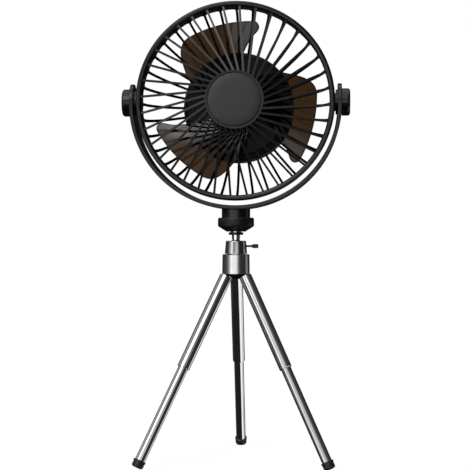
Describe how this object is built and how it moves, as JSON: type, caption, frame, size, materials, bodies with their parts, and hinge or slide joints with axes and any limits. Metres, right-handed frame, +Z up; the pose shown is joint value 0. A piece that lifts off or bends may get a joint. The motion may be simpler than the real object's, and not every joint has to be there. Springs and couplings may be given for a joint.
{
  "type": "tripod fan",
  "caption": "Round guarded fan with smoky see-through blades, tilting in a U-shaped yoke on a ball head and a folding telescopic mini tripod.",
  "frame": {"origin": "on the floor under the tripod's axis", "axes": "+Z up, the fan faces -Y, +X to the right seen from the front"},
  "size_m": [0.2076, 0.1562, 0.4169],
  "materials": {
    "black_plastic": "satin black moulding",
    "cap_plastic": "matt dark grey",
    "smoky_plastic": "see-through smoky amber blades on a glossy black hub",
    "washer_plastic": "matt black",
    "chrome": "polished chrome",
    "satin_chrome": "chrome with a soft shine",
    "steel": "plain steel",
    "brass": "turned brass",
    "cell_can": "sleeved metal can",
    "board": "green lacquered board",
    "switch_plastic": "matt dark grey",
    "light_pipe": "clear",
    "rubber": "black rubber",
    "white_plastic": "natural white"
  },
  "bodies": {
    "tripod_hub": {"hub_shell": "satin_chrome", "hinge_core": "black_plastic", "ball_socket": "chrome", "hub_screw": "steel", "leg_pins": "steel"},
    "lock_screw": {"lock_screw": "black_plastic"},
    "upper_leg_left": {"upper_leg_left": "chrome", "leg_lug_left": "black_plastic"},
    "lower_leg_left": {"lower_leg_left": "chrome", "slip_bush_left": "white_plastic", "foot_left": "rubber"},
    "upper_leg_right": {"upper_leg_right": "chrome", "leg_lug_right": "black_plastic"},
    "lower_leg_right": {"lower_leg_right": "chrome", "slip_bush_right": "white_plastic", "foot_right": "rubber"},
    "upper_leg_rear": {"upper_leg_rear": "chrome", "leg_lug_rear": "black_plastic"},
    "lower_leg_rear": {"lower_leg_rear": "chrome", "slip_bush_rear": "white_plastic", "foot_rear": "rubber"},
    "ball_seat": {"ball_seat": "white_plastic"},
    "ball_stem": {"ball_stem": "chrome", "platform_nut": "black_plastic", "platform": "black_plastic", "platform_pad": "rubber"},
    "yoke": {"yoke": "black_plastic", "yoke_foot": "black_plastic", "thread_insert": "brass", "yoke_screws": "steel"},
    "head": {"front_grille": "black_plastic", "front_cap": "cap_plastic", "rear_grille": "black_plastic", "motor_housing": "black_plastic", "rear_cover": "black_plastic", "cover_screws": "steel", "motor_can": "steel", "motor_bearings": "brass", "battery_cells": "cell_can", "circuit_board": "board", "button_switch": "switch_plastic", "charging_port": "steel", "charge_light": "light_pipe", "pivot_inserts": "brass", "pivot_washers": "washer_plastic"},
    "left_knob": {"left_knob": "black_plastic", "left_pivot_screw": "steel"},
    "right_knob": {"right_knob": "black_plastic", "right_pivot_screw": "steel"},
    "impeller": {"impeller": "smoky_plastic", "motor_shaft": "steel", "impeller_nut": "steel"},
    "power_button": {"power_button": "black_plastic"}
  },
  "joints": [
    {"name": "lock_turn", "type": "hinge", "parent": "tripod_hub", "child": "lock_screw", "pos_m": [0.0173, 0, 0.19588], "axis": [1, 0, 0], "range_deg": [0, 360]},
    {"name": "left_leg_fold", "type": "hinge", "parent": "tripod_hub", "child": "upper_leg_left", "pos_m": [-0.0059, -0.00341, 0.17458], "axis": [0.5, -0.866, 0], "range_deg": [0, 27.8]},
    {"name": "left_leg_slide", "type": "slide", "parent": "upper_leg_left", "child": "lower_leg_left", "axis": [0.4039, 0.2332, 0.8846], "range_m": [0, 0.07]},
    {"name": "right_leg_fold", "type": "hinge", "parent": "tripod_hub", "child": "upper_leg_right", "pos_m": [0.0059, -0.00341, 0.17458], "axis": [0.5, 0.866, 0], "range_deg": [0, 27.8]},
    {"name": "right_leg_slide", "type": "slide", "parent": "upper_leg_right", "child": "lower_leg_right", "axis": [-0.4039, 0.2332, 0.8846], "range_m": [0, 0.07]},
    {"name": "rear_leg_fold", "type": "hinge", "parent": "tripod_hub", "child": "upper_leg_rear", "pos_m": [0, 0.00681, 0.17458], "axis": [-1, 0, 0], "range_deg": [0, 27.8]},
    {"name": "rear_leg_slide", "type": "slide", "parent": "upper_leg_rear", "child": "lower_leg_rear", "axis": [0, -0.4664, 0.8846], "range_m": [0, 0.07]},
    {"name": "ball_pan", "type": "hinge", "parent": "tripod_hub", "child": "ball_seat", "pos_m": [0, 0, 0.19588], "axis": [0, 0, 1], "continuous": true},
    {"name": "ball_tilt", "type": "hinge", "parent": "ball_seat", "child": "ball_stem", "pos_m": [0, 0, 0.19588], "axis": [1, 0, 0], "range_deg": [-25, 25]},
    {"name": "yoke_swivel", "type": "hinge", "parent": "ball_stem", "child": "yoke", "pos_m": [0, 0, 0.22178], "axis": [0, 0, 1], "continuous": true},
    {"name": "head_tilt", "type": "hinge", "parent": "yoke", "child": "head", "pos_m": [0, 0, 0.32688], "axis": [1, 0, 0], "continuous": true},
    {"name": "left_knob_turn", "type": "hinge", "parent": "head", "child": "left_knob", "pos_m": [-0.1, 0, 0.32688], "axis": [-1, 0, 0], "range_deg": [0, 360]},
    {"name": "right_knob_turn", "type": "hinge", "parent": "head", "child": "right_knob", "pos_m": [0.1, 0, 0.32688], "axis": [1, 0, 0], "range_deg": [0, 360]},
    {"name": "fan_spin", "type": "hinge", "parent": "head", "child": "impeller", "pos_m": [0, 0, 0.32688], "axis": [0, 1, 0], "continuous": true},
    {"name": "button_press", "type": "slide", "parent": "head", "child": "power_button", "axis": [0, -1, 0], "range_m": [0, 0.0008], "stiffness_N_per_m": 800}
  ]
}
